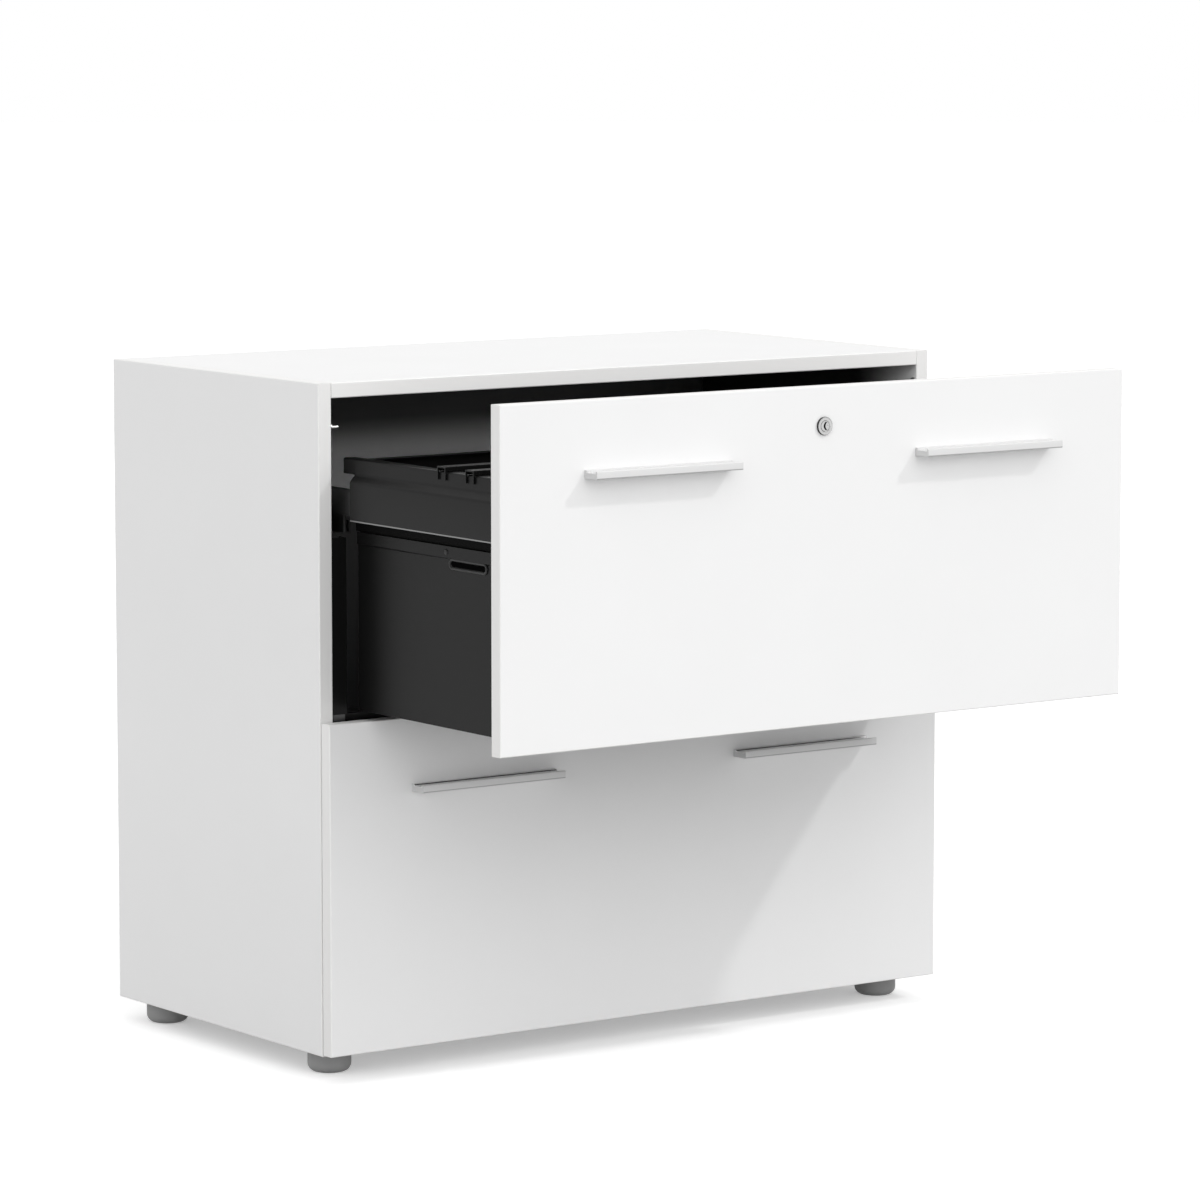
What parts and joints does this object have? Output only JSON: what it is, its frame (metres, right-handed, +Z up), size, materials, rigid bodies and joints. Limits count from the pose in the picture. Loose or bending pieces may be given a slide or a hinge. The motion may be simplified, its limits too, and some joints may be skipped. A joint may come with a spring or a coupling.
{
  "type": "lateral filing cabinet",
  "caption": "Wide low filing cabinet with file drawers on telescopic runners, bar pulls, a central rack-driven lock and levelling feet.",
  "frame": {"origin": "middle of the footprint on the floor, with the upper drawer open as in the picture", "axes": "+X to the cabinet's right as seen from the front, -Y out of the fronts, +Z up"},
  "size_m": [0.8, 0.759, 0.725],
  "materials": {
    "white_board": "white melamine-faced board with matching edging, charcoal inside the carcass",
    "satin_handle": "pale satin powder coat with duller sawn ends",
    "black_steel": "black powder-coated sheet steel",
    "dark_steel": "dark phosphated runner steel, lightly oiled",
    "bright_steel": "bright nickel-plated steel",
    "grey_plastic": "moulded mid-grey plastic"
  },
  "bodies": {
    "carcass": {"left_side_panel": "white_board", "right_side_panel": "white_board", "top_panel": "white_board", "bottom_panel": "white_board", "back_panel": "white_board", "front_cross_rail": "black_steel", "interlock_upright": "black_steel", "left_strike_pin": "bright_steel", "right_strike_pin": "bright_steel", "upper_left_runner_track": "dark_steel", "upper_right_runner_track": "dark_steel", "lower_left_runner_track": "dark_steel", "lower_right_runner_track": "dark_steel", "front_left_foot_socket": "dark_steel", "front_right_foot_socket": "dark_steel", "back_left_foot_socket": "dark_steel", "back_right_foot_socket": "dark_steel"},
    "upper_drawer": {"upper_front": "white_board", "upper_left_handle": "satin_handle", "upper_right_handle": "satin_handle", "upper_left_frame": "black_steel", "upper_right_frame": "black_steel", "upper_left_tray_side": "black_steel", "upper_right_tray_side": "black_steel", "upper_inner_front": "black_steel", "upper_drawer_back": "black_steel", "upper_tray_bottom": "black_steel", "upper_front_file_rail": "black_steel", "upper_rear_file_rail": "black_steel", "lock_housing": "bright_steel", "lock_gear_case": "dark_steel", "left_rod_guide": "black_steel", "right_rod_guide": "black_steel"},
    "lower_drawer": {"lower_front": "white_board", "lower_left_handle": "satin_handle", "lower_right_handle": "satin_handle", "lower_left_frame": "black_steel", "lower_right_frame": "black_steel", "lower_left_tray_side": "black_steel", "lower_right_tray_side": "black_steel", "lower_inner_front": "black_steel", "lower_drawer_back": "black_steel", "lower_tray_bottom": "black_steel", "lower_front_file_rail": "black_steel", "lower_rear_file_rail": "black_steel"},
    "upper_left_runner_carriage": {"upper_left_runner_carriage": "dark_steel"},
    "upper_right_runner_carriage": {"upper_right_runner_carriage": "dark_steel"},
    "lower_left_runner_carriage": {"lower_left_runner_carriage": "dark_steel"},
    "lower_right_runner_carriage": {"lower_right_runner_carriage": "dark_steel"},
    "lock_plug": {"lock_plug": "bright_steel", "lock_pinion": "bright_steel"},
    "left_lock_rod": {"left_lock_rod": "bright_steel"},
    "right_lock_rod": {"right_lock_rod": "bright_steel"},
    "interlock_bar": {"interlock_bar": "dark_steel"},
    "front_left_foot": {"front_left_foot": "grey_plastic"},
    "front_right_foot": {"front_right_foot": "grey_plastic"},
    "back_left_foot": {"back_left_foot": "grey_plastic"},
    "back_right_foot": {"back_right_foot": "grey_plastic"}
  },
  "joints": [
    {"name": "upper_drawer_slide", "type": "slide", "parent": "carcass", "child": "upper_drawer", "axis": [0, -1, 0], "range_m": [-0.309, 0.011]},
    {"name": "lower_drawer_slide", "type": "slide", "parent": "carcass", "child": "lower_drawer", "axis": [0, -1, 0], "range_m": [0, 0.32]},
    {"name": "upper_left_carriage_slide", "type": "slide", "parent": "carcass", "child": "upper_left_runner_carriage", "axis": [0, -1, 0], "range_m": [-0.1545, 0.0055]},
    {"name": "upper_right_carriage_slide", "type": "slide", "parent": "carcass", "child": "upper_right_runner_carriage", "axis": [0, -1, 0], "range_m": [-0.1545, 0.0055]},
    {"name": "lower_left_carriage_slide", "type": "slide", "parent": "carcass", "child": "lower_left_runner_carriage", "axis": [0, -1, 0], "range_m": [0, 0.16]},
    {"name": "lower_right_carriage_slide", "type": "slide", "parent": "carcass", "child": "lower_right_runner_carriage", "axis": [0, -1, 0], "range_m": [0, 0.16]},
    {"name": "lock_turn", "type": "hinge", "parent": "upper_drawer", "child": "lock_plug", "pos_m": [0, -0.3575, 0.6845], "axis": [0, 1, 0], "range_deg": [0, 90]},
    {"name": "left_rod_slide", "type": "slide", "parent": "upper_drawer", "child": "left_lock_rod", "axis": [-1, 0, 0], "range_m": [0, 0.01256]},
    {"name": "right_rod_slide", "type": "slide", "parent": "upper_drawer", "child": "right_lock_rod", "axis": [1, 0, 0], "range_m": [0, 0.01256]},
    {"name": "interlock_slide", "type": "slide", "parent": "carcass", "child": "interlock_bar", "axis": [0, 0, 1], "range_m": [0, 0.008]},
    {"name": "front_left_foot_turn", "type": "hinge", "parent": "carcass", "child": "front_left_foot", "pos_m": [-0.364, 0.0115, 0.02], "axis": [0, 0, 1], "continuous": true},
    {"name": "front_right_foot_turn", "type": "hinge", "parent": "carcass", "child": "front_right_foot", "pos_m": [0.364, 0.0115, 0.02], "axis": [0, 0, 1], "continuous": true},
    {"name": "back_left_foot_turn", "type": "hinge", "parent": "carcass", "child": "back_left_foot", "pos_m": [-0.364, 0.3375, 0.02], "axis": [0, 0, 1], "continuous": true},
    {"name": "back_right_foot_turn", "type": "hinge", "parent": "carcass", "child": "back_right_foot", "pos_m": [0.364, 0.3375, 0.02], "axis": [0, 0, 1], "continuous": true}
  ],
  "couplings": [
    {"joint": "upper_left_carriage_slide", "follows": "upper_drawer_slide", "ratio": 0.5},
    {"joint": "upper_right_carriage_slide", "follows": "upper_drawer_slide", "ratio": 0.5},
    {"joint": "lower_left_carriage_slide", "follows": "lower_drawer_slide", "ratio": 0.5},
    {"joint": "lower_right_carriage_slide", "follows": "lower_drawer_slide", "ratio": 0.5},
    {"joint": "lock_turn", "follows": "left_rod_slide", "rad_per_m": 125},
    {"joint": "right_rod_slide", "follows": "left_rod_slide", "ratio": 1}
  ]
}
